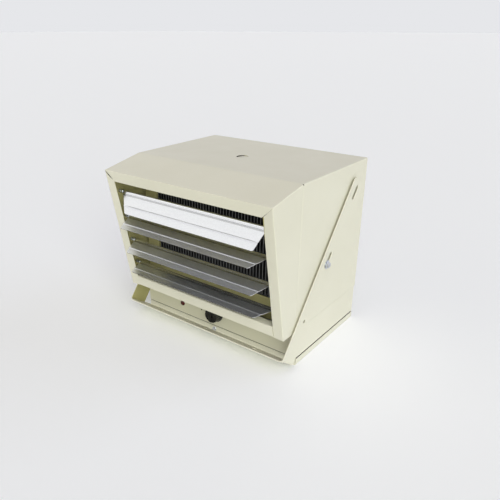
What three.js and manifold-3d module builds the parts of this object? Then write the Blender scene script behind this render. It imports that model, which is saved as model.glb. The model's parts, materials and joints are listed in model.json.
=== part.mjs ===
// Horizontal-flow electric unit heater: a folded sheet-steel housing with a leaning louvred outlet, a finned
// element, a rear fan behind a wire guard, a control compartment underneath and a swing bracket.
// Millimetres. +X right, +Y to the rear (air inlet), +Z up; the outlet faces -Y.
import * as THREE from 'three';
import { mergeVertices } from 'three/addons/utils/BufferGeometryUtils.js';
import Module from 'manifold-3d';

const wasm = await Module();
wasm.setup();

// ---------------------------------------------------------------- driving dimensions
const width = 362;             // outside of the housing
const height = 331;            // floor to flat top
const depth = 227;             // slope break to the rear edge
const sheet = 1.2;             // housing sheet
const bend = 2;                // outside radius of the housing folds
const gap = 0.3;               // clearance between seated pieces
const foldRelief = 1.3;        // radius of the corner notches

const slopeRun = 84;           // sloping front of the top
const slopeDrop = 16.6;
const bezelLean = 10.6;        // degrees, outlet face from vertical
const bezelStrip = 20;         // visible width of the side strips
const bezelTop = 19.7;         // visible height of the top strip
const bezelFoot = 22.6;        // visible height of the lower rail
const seamHeight = 71.5;       // lower edge of the hood
const mitreTight = 0.5;        // joint at the right corner of the outlet frame
const mitreSprung = 3.4;       // same at the left corner, standing open
const railFlange = 16;         // depth of the lower rail
const railInset = 8.4;         // louver rail web inside the housing side
const railDepth = 24;          // louver rail, behind the face

const cabinetFront = 6;        // control panel face, behind the slope break
const coverLip = 14;           // upturned edge of the bottom cover
const coverGap = 1;            // open joint above that edge
const coverNotch = 1.6;        // half width of its corner reliefs
const cabinetLip = 8;          // inner lip of the compartment, above the cover's edge
const cabinetShelf = 14;       // inward fold along the top of the control panel

const louverFirst = 45;        // down the face to the first rod
const louverLast = 25.3;       // last rod above the lower rail
const louverSet = 14.2;        // rod axis behind the face
const louverAngles = [66, 14, 15, 4];   // nose-down angle of each blade, degrees
const louverPass = 11.1;       // lip to the next rod when the blades hang closed
const louverEndGap = 13.8;     // blade end to the rail web, at the rod
const louverTaper = 14.3;      // how much shorter each end is at the lip
const louverSquare = 4;        // length of the ends before they taper
const louverNose = 14;         // crease to the lip
const louverLipBend = 1.5;     // degrees
const creaseRise = 1.2;
const creaseHalf = 1.5;
const louverSheet = 0.8;
const rodRadius = 1.6;
const collarRadius = 3.1;
const collarGap = 2.5;         // blade end to its collar

const finMargin = 39.8;        // fins to the inside of the housing
const finPitch = 6.6;
const finSheet = 0.6;
const finRise = 46.5;          // fins above the seam
const finDrop = 39;            // fins below the flat top
const finFront = 5;
const finDepth = 30;
const tubeRadius = 4.6;
const tubeCount = 2;
const tubeOver = 14;           // tube past the frame, and its terminal stud
const studOver = 22;

const ringMargin = 22.6;       // inlet throat to the duct floor and top
const ringCollar = 16;         // depth of the throat
const fanTipGap = 7;           // blade tip to the throat
const fanBore = 10.4;
const fanBlades = 5;
const fanSet = 26;             // middle of the blades, from the rear edge
const fanPitch = 27;           // degrees
const motorRadius = 42;
const motorLength = 52;
const motorSet = 21;           // motor to the middle of the blades
const motorBolts = 34;         // bolts above and below the shaft
const shaftRadius = 4;
const panelSet = 1.5;          // rear panel inside the rear edge
const panelLip = 12;
const guardOver = 13;          // guard wires past the throat
const guardStand = 6;          // guard behind the rear edge
const guardWire = 1.5;
const guardRings = 7;
const guardFirst = 14;         // radius of the smallest ring

const pivotBack = 88.2;        // bracket screw, from the slope break
const pivotDrop = 163.4;       // bracket screw below the flat top
const crossbarStand = 34.5;    // crossbar in front of the control panel
const crossbarHeight = 20.9;   // middle of the crossbar above the floor
const strapWidth = 42;
const strapSheet = 1.6;
const strapBend = 7;
const strapStand = 2.4;        // arm to the side of the hood
const strapEnd = 165;          // screw to the free end of the arm
const strapCorner = 12;
const strapLowHole = 107.5;    // screw to the small hole near the crossbar
const strapFixing = 115;       // fixing holes either side of the crossbar's middle
const slotTravel = 20;
const slotWidth = 8;
const upperSlot = 131;         // screw to the near end of the upper slot
const screwRadius = 2.9;
const boltHole = 3.75;         // holes for the bracket screw in the hood

const knobRadius = 17.5;
const knobReach = 18;          // grip in front of the panel
const knobDrop = 27.5;         // dial axis below the seam
const knobAcross = 1;
const pilotPlace = [-85, 34.5]; // across, below the seam
const pilotRadius = 3.7;
const bushRadius = 4.6;        // threaded neck of the thermostat
const thermostatSize = [48, 34, 40];
const screwHole = 2.3;
const groundPlace = [-60, 37]; // ground screw in the duct floor: across, in front of the rear edge
const coverScrewPlace = [-3, 7];
const knockoutPlace = [-4, 93];   // in the top: across, back
const knockoutRadius = 11;
const supplyPlaces = [-120, -70]; // knockouts in the rear panel, across
const supplyHeight = 42;

// ---------------------------------------------------------------- sizes that follow from them
const rad = THREE.MathUtils.degToRad;
const side = width / 2;
const inner = side - sheet;
const mouth = side - bezelStrip;
const ductTop = height - sheet - gap;
const partitionTop = seamHeight + panelSet + sheet;
const hangTop = partitionTop - sheet - gap;   // top of what hangs under the duct floor
const rearFace = depth - panelSet;            // outside of the rear panel
const panelReach = inner - gap;

const faceLength = (height - slopeDrop - seamHeight) / Math.cos(rad(bezelLean));
const railTop = faceLength - bezelFoot;
const louverCount = louverAngles.length;
const louverPitch = (railTop - louverLast - louverFirst) / (louverCount - 1);
const louverReach = louverPitch - louverPass;
const louverCrease = louverReach - louverNose;
const railWeb = inner - railInset;
const louverRootHalf = railWeb - louverEndGap;

const finHalf = inner - finMargin;
const finBottom = seamHeight + finRise;
const finTop = height - finDrop;
const finBack = finFront + finDepth;
const frameWeb = finHalf + 2;

const fanHeight = (partitionTop + ductTop) / 2;
const fanRing = (ductTop - partitionTop) / 2 - ringMargin;
const fanRadius = fanRing - fanTipGap;
const fanPlane = depth - fanSet;
const motorBack = fanPlane - motorSet;
const motorFront = motorBack - motorLength;
const guardRadius = fanRing + guardOver;
const guardBack = depth + guardStand;

const knobPlace = [knobAcross, seamHeight - knobDrop];
const pivotHeight = height - pivotDrop;
const crossbar = [cabinetFront - crossbarStand, crossbarHeight];
const armRise = [pivotBack - crossbar[0], pivotHeight - crossbar[1]];
const armAngle = Math.atan2(armRise[1], armRise[0]);
const strapFoot = Math.hypot(...armRise);
const armInside = side + strapStand;
const armOutside = armInside + strapSheet;

// ---------------------------------------------------------------- finishes
function finish(color, roughness, metalness) {
  return new THREE.MeshStandardMaterial({ color, roughness, metalness });
}
const almondPaint = finish(0xdddbc6, 0.42, 0);
const aluminium = finish(0xb9bcc0, 0.35, 1);
const zincSteel = finish(0xb4b6ba, 0.32, 1);
const blackSteel = finish(0x26272a, 0.6, 0.6);
const galvanised = finish(0x9fa3a6, 0.45, 0.9);
const blackPlastic = finish(0x17171a, 0.38, 0);
const greyPlastic = finish(0x5b5f63, 0.5, 0);
const redLens = finish(0xa81d16, 0.2, 0);
const wirePaint = finish(0xd6d4c0, 0.4, 0.1);

// ---------------------------------------------------------------- making solids
function toSolid(geometry) {
  geometry.deleteAttribute('normal');
  geometry.deleteAttribute('uv');
  const merged = mergeVertices(geometry, 1e-4);
  const mesh = new wasm.Mesh({
    numProp: 3,
    vertProperties: new Float32Array(merged.attributes.position.array),
    triVerts: new Uint32Array(merged.index.array),
  });
  mesh.merge();
  return new wasm.Manifold(mesh);
}

function toGeometry(solid) {
  const mesh = solid.getMesh();
  const geometry = new THREE.BufferGeometry();
  geometry.setAttribute('position', new THREE.BufferAttribute(mesh.vertProperties, 3));
  geometry.setIndex(new THREE.BufferAttribute(mesh.triVerts, 1));
  geometry.computeVertexNormals();
  return geometry;
}

const fuse = (...solids) => solids.reduce((sum, next) => sum.add(next));
const cut = (solid, ...tools) => tools.reduce((rest, tool) => rest.subtract(tool), solid);

function placed(geometry, x = 0, y = 0, z = 0) {
  geometry.translate(x, y, z);
  return toSolid(geometry);
}

function box(x0, x1, y0, y1, z0, z1) {
  const geometry = new THREE.BoxGeometry(x1 - x0, y1 - y0, z1 - z0);
  return placed(geometry, (x0 + x1) / 2, (y0 + y1) / 2, (z0 + z1) / 2);
}

// A round bar between two places along one axis.
function bar(axis, radius, from, to, a, b, sides = 20) {
  const geometry = new THREE.CylinderGeometry(radius, radius, to - from, sides);
  const middle = (from + to) / 2;
  if (axis === 'x') return placed(geometry.rotateZ(Math.PI / 2), middle, a, b);
  if (axis === 'y') return placed(geometry, a, middle, b);
  return placed(geometry.rotateX(Math.PI / 2), a, b, middle);
}

// A turned profile [radius, along] about the Y axis, ending on the axis or where it began.
function turned(profile, sides, x, y, z) {
  const geometry = new THREE.LatheGeometry(profile.map(([r, h]) => new THREE.Vector2(r, h)), sides);
  return placed(geometry, x, y, z);
}

const outline = (points) => new THREE.Shape(points.map(([a, b]) => new THREE.Vector2(a, b)));

// Extrudes a (y, z) outline from x0 to x1.
function alongX(shape, x0, x1, rounding = 0) {
  const geometry = new THREE.ExtrudeGeometry(shape, {
    depth: x1 - x0 - 2 * rounding,
    curveSegments: 5,
    bevelEnabled: rounding > 0,
    bevelThickness: rounding,
    bevelSize: rounding,
    bevelOffset: -rounding,
    bevelSegments: 2,
  });
  const turn = new THREE.Matrix4().makeBasis(
    new THREE.Vector3(0, 1, 0), new THREE.Vector3(0, 0, 1), new THREE.Vector3(1, 0, 0));
  return placed(geometry.applyMatrix4(turn), x0 + rounding, 0, 0);
}

// Extrudes an (x, z) outline from y0 to y1.
function alongY(shape, y0, y1) {
  const settings = { depth: y1 - y0, curveSegments: 6, bevelEnabled: false };
  return placed(new THREE.ExtrudeGeometry(shape, settings).rotateX(Math.PI / 2), 0, y1, 0);
}

// Extrudes an (x, y) outline from z0 to z1.
function alongZ(shape, z0, z1) {
  const settings = { depth: z1 - z0, curveSegments: 5, bevelEnabled: false };
  return placed(new THREE.ExtrudeGeometry(shape, settings), 0, 0, z0);
}

// Rounds the inside corners of an open path.
function rounded(points, radius, steps = 2) {
  const path = [points[0]];
  for (let i = 1; i < points.length - 1; i += 1) {
    const here = new THREE.Vector2(...points[i]);
    const before = new THREE.Vector2(...points[i - 1]).sub(here).normalize();
    const after = new THREE.Vector2(...points[i + 1]).sub(here).normalize();
    const half = before.angleTo(after) / 2;
    const back = radius / Math.tan(half);
    const start = here.clone().addScaledVector(before, back);
    const end = here.clone().addScaledVector(after, back);
    const middle = before.clone().add(after).normalize();
    const centre = here.clone().addScaledVector(middle, radius / Math.sin(half));
    const from = start.clone().sub(centre);
    const to = end.clone().sub(centre);
    const sweep = Math.atan2(from.cross(to), from.dot(to));
    for (let step = 0; step <= steps; step += 1) {
      const spoke = from.clone().rotateAround(new THREE.Vector2(), (sweep * step) / steps);
      path.push([centre.x + spoke.x, centre.y + spoke.y]);
    }
  }
  path.push(points[points.length - 1]);
  return path;
}

// Outline of a sheet of the given thickness, lying to the left of an open path.
function ribbon(path, thickness) {
  const points = path.map(([a, b]) => new THREE.Vector2(a, b));
  const normals = points.slice(1).map((point, i) => {
    const run = point.clone().sub(points[i]).normalize();
    return new THREE.Vector2(-run.y, run.x);
  });
  const offset = points.map((point, i) => {
    const first = normals[Math.max(i - 1, 0)];
    const second = normals[Math.min(i, normals.length - 1)];
    const mean = first.clone().add(second);
    return point.clone().addScaledVector(mean, (2 * thickness) / mean.lengthSq());
  });
  return new THREE.Shape([...points, ...offset.reverse()]);
}

// Closed outline moved inwards (to the left of a counter-clockwise outline).
function inset(points, amount) {
  const count = points.length;
  return points.map((_, i) => {
    const here = new THREE.Vector2(...points[i]);
    const into = here.clone().sub(new THREE.Vector2(...points[(i + count - 1) % count])).normalize();
    const out = new THREE.Vector2(...points[(i + 1) % count]).sub(here).normalize();
    const mean = new THREE.Vector2(-into.y - out.y, into.x + out.x);
    const moved = here.addScaledVector(mean, (2 * amount) / mean.lengthSq());
    return [moved.x, moved.y];
  });
}

// Round-ended slot along the second axis of a plane, from one centre to the other.
function slotOutline(radius, from, to) {
  const shape = new THREE.Shape();
  shape.moveTo(-radius, from);
  shape.absarc(0, from, radius, Math.PI, 0);
  shape.lineTo(radius, to);
  shape.absarc(0, to, radius, 0, Math.PI);
  return shape;
}

// ---------------------------------------------------------------- the scene graph
const heater = new THREE.Group();

// Frame of the outlet face: x across, y behind the face, z up along it, from its top edge.
const outlet = new THREE.Group();
outlet.position.set(0, -slopeRun, height - slopeDrop);
outlet.rotation.x = rad(bezelLean);
heater.add(outlet);

function part(name, solid, material, parent = heater) {
  const mesh = new THREE.Mesh(toGeometry(solid), material);
  mesh.name = name;
  parent.add(mesh);
  return mesh;
}

// Point of the outlet face in (y, z), given as down the face and behind it.
function facePoint(down, behind) {
  const s = Math.sin(rad(bezelLean));
  const c = Math.cos(rad(bezelLean));
  return [-slopeRun + down * s + behind * c, height - slopeDrop - down * c + behind * s];
}

// Screw standing on a face with a flanged head, which points along `out` (+1 or -1).
function screw(axis, out, at, a, b, { head, tall, shank, long, hex = true }) {
  const length = (radius, along, sides) => bar(
    axis, radius, Math.min(at, at + out * along), Math.max(at, at + out * along), a, b, sides);
  return fuse(length(head, tall, hex ? 6 : 12), length(head * 1.15, 0.8, 12), length(shank, -long, 8));
}

// Middle of the bracket arm at a distance from the screw towards the free end, in (y, z).
function armPoint(along) {
  return [pivotBack + along * Math.cos(armAngle), pivotHeight + along * Math.sin(armAngle)];
}

// ---------------------------------------------------------------- hood
// Top, sloping front, both sides and three strips of the outlet frame, folded from one sheet.
function makeHood() {
  const over = 20;
  const top = height - slopeDrop;
  const [footY] = facePoint(faceLength + over, 0);
  const profile = [
    [depth + over, seamHeight - over], [depth + over, height], [0, height],
    [-slopeRun, top], [footY, seamHeight - over],
  ];
  const outer = alongX(outline(profile), -side, side, bend);
  const hollow = alongX(outline(inset(profile, sheet)), -inner, inner, bend - sheet);
  const rear = box(-width, width, depth, depth + 2 * over, -over, height + over);
  const below = box(-width, width, -width, width, seamHeight - 2 * over, seamHeight);
  let hood = cut(outer, hollow, rear, below);

  // The outlet, open at the bottom where the lower rail closes it.
  const through = bend + 1;
  const opening = outline([
    facePoint(bezelTop, -through), facePoint(bezelTop, through),
    facePoint(faceLength + over, through), facePoint(faceLength + over, -through),
  ]);
  hood = cut(hood, alongX(opening, -mouth, mouth));

  // Mitred corners of the strips: tight on the right, sprung open on the left.
  const fold = bend / 2;
  for (const [way, open] of [[1, mitreTight], [-1, mitreSprung]]) {
    const halfway = [way * (mouth + bezelStrip / 2), -bezelTop / 2];
    const joint = outline([
      [way * (mouth - 1), -bezelTop - 1], [way * (mouth - 1), -bezelTop],
      [halfway[0], halfway[1] + open / 2], [way * (side - fold), -fold],
      [way * (side - fold), -fold - open / 3], [halfway[0], halfway[1] - open / 2],
    ]);
    const mitre = new THREE.ExtrudeGeometry(joint, { depth: 2 * through, bevelEnabled: false });
    mitre.rotateX(Math.PI / 2).translate(0, through, 0);
    mitre.rotateX(rad(bezelLean)).translate(0, -slopeRun, top);
    hood = cut(hood, toSolid(mitre));
  }

  // Fold reliefs at the slope break, the knockout in the top and the bracket holes in the sides.
  for (const x of [-side, side]) {
    hood = cut(hood, bar('x', foldRelief, x - bend, x + bend, 0, height - fold, 8));
  }
  hood = cut(hood, bar('z', knockoutRadius, height - bend, height + bend, ...knockoutPlace, 24));
  for (const [y, z] of [[pivotBack, pivotHeight], armPoint(upperSlot + slotTravel / 2)]) {
    hood = cut(hood, bar('x', boltHole, -width, width, y, z, 16));
  }
  return hood;
}

part('hood', makeHood(), almondPaint);

// Lower rail of the outlet frame: a channel butted between the side strips, its flanges behind them.
function makeLowerRail() {
  const lean = rad(bezelLean);
  const foot = -faceLength + sheet / Math.cos(lean);
  const fall = railFlange * Math.tan(lean);
  const section = ribbon(rounded([
    [railFlange, -railTop - fall], [0, -railTop], [0, foot], [railFlange, foot - fall],
  ], bend), sheet);
  const channel = alongX(section, gap - inner, inner - gap);
  const faces = [[-width, gap - mouth], [mouth - gap, width]].map(([x0, x1]) => (
    box(x0, x1, -1, sheet + gap, -faceLength - bend, bend - railTop)));
  return cut(channel, ...faces);
}
part('lower_front_rail', makeLowerRail(), almondPaint, outlet);

// ---------------------------------------------------------------- louvers
// Mirrored outline of a sheet for the left side.
function handed(way, path, thickness) {
  return ribbon(way > 0 ? path : path.map(([x, y]) => [-x, y]).reverse(), thickness);
}

function makeLouverRail(way) {
  const front = sheet + gap;
  const path = rounded([[inner - gap, front], [railWeb, front], [railWeb, railDepth]], bend);
  let rail = alongZ(handed(way, path, -sheet), bend - railTop, -bezelTop - 1);
  for (let i = 0; i < louverCount; i += 1) {
    const z = -louverFirst - i * louverPitch;
    rail = cut(rail, bar('x', rodRadius + gap, way * railWeb - 3, way * railWeb + 3, louverSet, z, 12));
  }
  return rail;
}
part('louver_rail_left', makeLouverRail(-1), almondPaint, outlet);
part('louver_rail_right', makeLouverRail(1), almondPaint, outlet);

// Blade: its rear edge is curled round the rod, with a pressed crease before the lip. Forward is -y.
function makeBlade() {
  const curl = rodRadius + gap;
  const curlSteps = 7;
  const [curlFrom, curlTo] = [-160, 130];
  const path = [
    [-louverReach, -louverNose * Math.tan(rad(louverLipBend))], [-louverCrease - creaseHalf, 0],
    [-louverCrease, creaseRise], [-louverCrease + creaseHalf, 0], [-2 * curl, 0],
  ];
  for (let i = 0; i <= curlSteps; i += 1) {
    const angle = rad(curlFrom + ((curlTo - curlFrom) * i) / curlSteps);
    path.push([curl * Math.cos(angle), curl * Math.sin(angle)]);
  }
  return alongX(ribbon(path, -louverSheet), -louverRootHalf, louverRootHalf);
}

// Tapers both ends of the blade towards its lip.
function trimBlade(blade) {
  const over = 5;
  const slope = louverTaper / (louverReach - louverSquare);
  const wedges = [-1, 1].map((way) => alongZ(outline([
    [way * louverRootHalf, -louverSquare], [way * (louverRootHalf + over), -louverSquare],
    [way * (louverRootHalf + over), -louverReach - over],
    [way * (louverRootHalf - louverTaper - slope * over), -louverReach - over],
  ]), -2 * over, 2 * over));
  return cut(blade, ...wedges);
}

// Rod through the rolled edge, with a collar at each end against the rail.
function makeRod() {
  const end = railWeb + sheet + 1.5;
  const [from, to] = [louverRootHalf + collarGap, railWeb - gap];
  const collars = [[-to, -from], [from, to]].map(([x0, x1]) => bar('x', collarRadius, x0, x1, 0, 0, 10));
  return fuse(bar('x', rodRadius, -end, end, 0, 0, 10), ...collars);
}

const blade = trimBlade(makeBlade());
const rod = makeRod();
for (let i = 0; i < louverCount; i += 1) {
  const louver = new THREE.Group();
  louver.position.set(0, louverSet, -louverFirst - i * louverPitch);
  louver.rotation.x = rad(louverAngles[i] - bezelLean);
  outlet.add(louver);
  part(`louver_${i + 1}`, blade, aluminium, louver);
  part(`louver_rod_${i + 1}`, rod, zincSteel, louver);
}

// ---------------------------------------------------------------- control compartment
// Duct floor between the air passage and the control compartment.
function makePartition() {
  const lip = 10;
  const under = partitionTop - sheet;
  const path = rounded([
    [-panelReach, under + lip], [-panelReach, under], [panelReach, under], [panelReach, under + lip],
  ], bend);
  const [frontY] = facePoint(faceLength, railFlange + 2);
  const floor = alongY(ribbon(path, sheet), frontY, rearFace - sheet - gap);
  return cut(floor, bar('z', screwHole, under - 5, under + 5, groundPlace[0], depth - groundPlace[1], 12));
}
part('partition_plate', makePartition(), galvanised);

const [pilotX, pilotZ] = [pilotPlace[0], seamHeight - pilotPlace[1]];

// Control panel and compartment sides, one folded sheet, with an inner lip behind the bottom cover.
function makeCabinet() {
  const rear = rearFace - sheet - gap;
  const plan = (grow) => rounded([
    [-side + grow, rear], [-side + grow, cabinetFront + grow],
    [side - grow, cabinetFront + grow], [side - grow, rear],
  ], bend);
  const top = seamHeight - gap;
  const foot = coverLip + coverGap;
  const wall = alongZ(ribbon(plan(0), sheet), foot, top);
  const joggle = alongZ(ribbon(plan(sheet), sheet + gap), foot, foot + cabinetLip);
  const lip = alongZ(ribbon(plan(sheet + gap), sheet), coverLip / 4, foot + cabinetLip);
  const front = cabinetFront + sheet / 2;
  const shelf = box(-inner + bend, inner - bend, front, cabinetFront + cabinetShelf, top - sheet, top);
  const through = [0, cabinetFront + cabinetShelf];
  return cut(
    fuse(wall, joggle, lip, shelf),
    bar('y', bushRadius + gap, ...through, ...knobPlace, 16),
    bar('y', pilotRadius + gap, ...through, pilotX, pilotZ, 16),
    bar('y', screwHole, ...through, ...coverScrewPlace, 12),
  );
}
part('control_cabinet', makeCabinet(), almondPaint);

// Shallow pan that closes the compartment and carries the heater when it stands.
function makeBottomCover() {
  const pan = (grow) => {
    const [front, rear, top] = [cabinetFront + grow, depth - grow, coverLip + bend];
    const section = outline([[front, grow], [rear, grow], [rear, top], [front, top]]);
    return alongX(section, grow - side, side - grow, bend - grow);
  };
  const above = box(-width, width, -width, 2 * width, coverLip, 2 * coverLip);
  const notches = [];
  for (const x of [-side, side]) {
    for (const y of [cabinetFront, depth]) {
      notches.push(box(x - coverNotch, x + coverNotch, y - coverNotch, y + coverNotch,
        2 * bend, 2 * coverLip));
    }
  }
  const hole = bar('y', screwHole, 0, cabinetFront + cabinetShelf, ...coverScrewPlace, 12);
  return cut(pan(0), pan(sheet), above, ...notches, hole);
}
part('bottom_cover', makeBottomCover(), almondPaint);
const coverScrew = screw('y', -1, cabinetFront - gap, ...coverScrewPlace,
  { head: 4.2, tall: 3.2, shank: 1.9, long: 9 });
part('cover_screw', coverScrew, zincSteel);

// ---------------------------------------------------------------- thermostat, pilot light and wiring parts
const knobShaft = 3;
const knobGrip = 8;            // shaft in the dial
const knobSeat = cabinetFront - 1;

// Dial with a skirt, finger flutes round its side and a raised grip across its face.
function makeKnob() {
  const skirt = 3;
  const face = knobReach - 2.5;
  const knob = turned([
    [0, -face], [knobRadius - 3.6, -face], [knobRadius - 2, -face + 0.8], [knobRadius - 1.5, -face + 2.4],
    [knobRadius - 1.2, -skirt - 0.6], [knobRadius, -skirt], [knobRadius, 0], [0, 0],
  ], 32, 0, 0, 0);
  const flutes = [];
  const fluteCount = 12;
  for (let i = 0; i < fluteCount; i += 1) {
    const angle = ((i + 0.5) * 2 * Math.PI) / fluteCount;
    const radius = knobRadius - 0.4;
    flutes.push(bar('y', 1.3, -face, -skirt - 1, radius * Math.cos(angle), radius * Math.sin(angle), 6));
  }
  const gripHalf = 2.6;
  const gripLong = knobRadius - 6;
  const grip = alongX(outline([
    [0.5 - face, -gripHalf], [0.5 - face, gripHalf],
    [-knobReach, gripHalf / 2], [-knobReach, -gripHalf / 2],
  ].reverse()), -gripLong, gripLong).rotate([0, 90, 0]);
  const bore = bar('y', knobShaft + gap, -knobGrip, 1, 0, 0, 16);
  return cut(fuse(knob, grip), ...flutes, bore).translate([knobPlace[0], knobSeat, knobPlace[1]]);
}
part('thermostat_knob', makeKnob(), blackPlastic);
const thermostatBack = cabinetFront + 2 * sheet + 2 * gap;
const dialShaft = bar('y', knobShaft, knobSeat - knobGrip + gap, thermostatBack + 11, ...knobPlace, 16);
part('thermostat_shaft', dialShaft, zincSteel);

function makeThermostat() {
  const [x, z] = knobPlace;
  const [across, deep, tall] = thermostatSize;
  const shell = box(x - across / 2, x + across / 2, thermostatBack, thermostatBack + deep,
    z - tall / 2, z + tall / 2);
  const bush = bar('y', bushRadius, cabinetFront + 0.5, thermostatBack + 2, x, z, 16);
  return cut(fuse(shell, bush), bar('y', knobShaft + 0.4, 0, thermostatBack + 12, x, z, 16));
}
part('thermostat_body', makeThermostat(), greyPlastic);

const lens = turned([[0, -3.4], [3.4, -2.8], [5, -1.4], [5.2, 0], [0, 0]], 20,
  pilotX, cabinetFront - gap, pilotZ);
part('pilot_light_lens', lens, redLens);
const pilotBody = bar('y', pilotRadius, cabinetFront, cabinetFront + 24, pilotX, pilotZ, 16);
part('pilot_light_body', pilotBody, greyPlastic);

function makeTerminalBlock() {
  const [x0, y0, y1] = [29.8 - inner, 120, 150];
  const x1 = x0 + 64;
  let block = box(x0, x1, y0, y1, hangTop - 22, hangTop);
  const ways = 3;
  for (let i = 0; i < ways; i += 1) {
    const x = x0 + 8 + i * 20;
    block = cut(block, box(x, x + 14, y0 + 4, y1 - 4, hangTop - 30, hangTop - 14));
  }
  return block;
}
part('terminal_block', makeTerminalBlock(), blackPlastic);

function makeContactor() {
  const [x1, y0, y1] = [inner - 51.8, 110, 170];
  const x0 = x1 - 58;
  const base = box(x0 - 6, x1 + 6, y0, y1, hangTop - 3, hangTop);
  const body = box(x0, x1, y0 + 4, y1 - 4, hangTop - 40, hangTop);
  const coil = box(x0 + 10, x1 - 10, y0 + 14, y1 - 14, hangTop - 50, hangTop);
  return fuse(base, body, coil);
}
part('contactor', makeContactor(), greyPlastic);

// Delay switch that keeps the fan running until the element is cool.
function makeDelaySwitch() {
  const [x, y] = [10, 150];
  const tab = box(x - 22, x + 22, y - 8, y + 8, hangTop - 2, hangTop);
  const body = box(x - 15, x + 15, y - 12, y + 12, hangTop - 26, hangTop);
  const blades = [x - 8, x + 8].map((at) => (
    box(at - 0.4, at + 0.4, y - 3, y + 3, hangTop - 34, hangTop - 20)));
  return fuse(tab, body, ...blades);
}
part('fan_delay_switch', makeDelaySwitch(), greyPlastic);
const groundScrew = screw('z', -1, hangTop, groundPlace[0], depth - groundPlace[1],
  { head: 4.4, tall: 2.6, shank: 1.9, long: 6 });
part('ground_screw', groundScrew, zincSteel);

// ---------------------------------------------------------------- heating element in its frame
const tubeHeights = [];
for (let i = 0; i < tubeCount; i += 1) {
  tubeHeights.push(finBottom + ((finTop - finBottom) * (i + 0.5)) / tubeCount);
}
const tubeMiddle = finFront + finDepth / 2;

function makeElementFrame(way) {
  const reach = panelReach - railInset;
  const [front, back] = [finFront - 2, finBack + 4];
  const path = rounded([[reach, front], [frameWeb, front], [frameWeb, back], [reach, back]], bend);
  const web = way * frameWeb;
  const holes = tubeHeights.map((z) => (
    bar('x', tubeRadius + 0.8, web - 6, web + 6, tubeMiddle, z, 12)));
  return cut(alongZ(handed(way, path, -sheet), partitionTop + gap, ductTop), ...holes);
}
part('element_frame_left', makeElementFrame(-1), almondPaint);
part('element_frame_right', makeElementFrame(1), almondPaint);

function makeBaffle(z0, z1, lipAtTop) {
  const lip = 12;
  const y = finFront - 2;
  const path = lipAtTop
    ? [[y, z0], [y, z1], [y + lip, z1]]
    : [[y + lip, z0], [y, z0], [y, z1]];
  const reach = frameWeb - gap - sheet;
  return alongX(ribbon(rounded(path, bend), -sheet), -reach, reach);
}
part('lower_baffle', makeBaffle(partitionTop + gap, finBottom - 1, false), almondPaint);
part('upper_baffle', makeBaffle(finTop + 1, ductTop, true), almondPaint);

// Sheathed tubes through one block of plate fins.
function makeElement() {
  const count = Math.floor((2 * finHalf - finSheet) / finPitch) + 1;
  const span = (count - 1) * finPitch;
  const fins = [];
  for (let i = 0; i < count; i += 1) {
    const x = -span / 2 + i * finPitch - finSheet / 2;
    fins.push(box(x, x + finSheet, finFront, finBack, finBottom, finTop));
  }
  const across = (radius, over, sides) => tubeHeights.map((z) => (
    bar('x', radius, -frameWeb - over, frameWeb + over, tubeMiddle, z, sides)));
  return wasm.Manifold.union([...fins, ...across(tubeRadius, tubeOver, 6), ...across(2, studOver, 8)]);
}
part('heating_element', makeElement(), blackSteel);

// Snap-disc cut-out on the right frame.
function makeCutout() {
  const x = frameWeb + sheet + gap;
  const z = (finBottom + finTop) / 2;
  const disc = bar('x', 8, x, x + 9, finBack - 8, z, 20);
  const flange = box(x, x + 1, finBack - 16, finBack, z - 12, z + 12);
  return fuse(disc, flange);
}
part('thermal_cutout', makeCutout(), greyPlastic);

// ---------------------------------------------------------------- rear panel, fan and motor
const guardEye = 5;
const footRadius = guardRadius + 3;   // screws of the guard from the fan axis

function makeRearPanel() {
  const lipFoot = partitionTop + panelLip;
  const lipFront = rearFace - panelLip;
  const plate = box(-panelReach, panelReach, rearFace - sheet, rearFace, coverLip + coverGap, ductTop);
  const flanges = [
    box(-panelReach, sheet - panelReach, lipFront, rearFace, lipFoot, ductTop),
    box(panelReach - sheet, panelReach, lipFront, rearFace, lipFoot, ductTop),
    box(-panelReach, panelReach, lipFront, rearFace, ductTop - sheet, ductTop),
  ];
  const opening = bar('y', fanRing + sheet, 0, 2 * depth, 0, fanHeight, 40);
  const ring = turned([
    [fanRing + 5, -sheet], [fanRing + 5, 0], [fanRing + 2, -1], [fanRing, -4],
    [fanRing, -ringCollar], [fanRing + sheet, -ringCollar], [fanRing + sheet, -4],
    [fanRing + 3, -1.8], [fanRing + 5, -sheet],
  ], 40, 0, rearFace, fanHeight);
  const panel = fuse(cut(fuse(plate, ...flanges), opening), ring);

  // Knockouts for the supply, each outlined by a scored groove, and the holes of the guard.
  const score = 0.5;
  const grooves = supplyPlaces.map((x) => cut(
    bar('y', knockoutRadius + score / 2, rearFace - score, rearFace + 1, x, supplyHeight, 24),
    bar('y', knockoutRadius - score / 2, rearFace - 1, rearFace + 2, x, supplyHeight, 24)));
  const holes = guardFeet().map(([x, z]) => bar('y', screwHole, rearFace - 5, rearFace + 5, x, z, 10));
  return cut(panel, ...grooves, ...holes);
}

function guardFeet() {
  return [45, 135, 225, 315].map((angle) => [
    footRadius * Math.cos(rad(angle)), fanHeight + footRadius * Math.sin(rad(angle))]);
}
part('rear_panel', makeRearPanel(), almondPaint);

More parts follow.
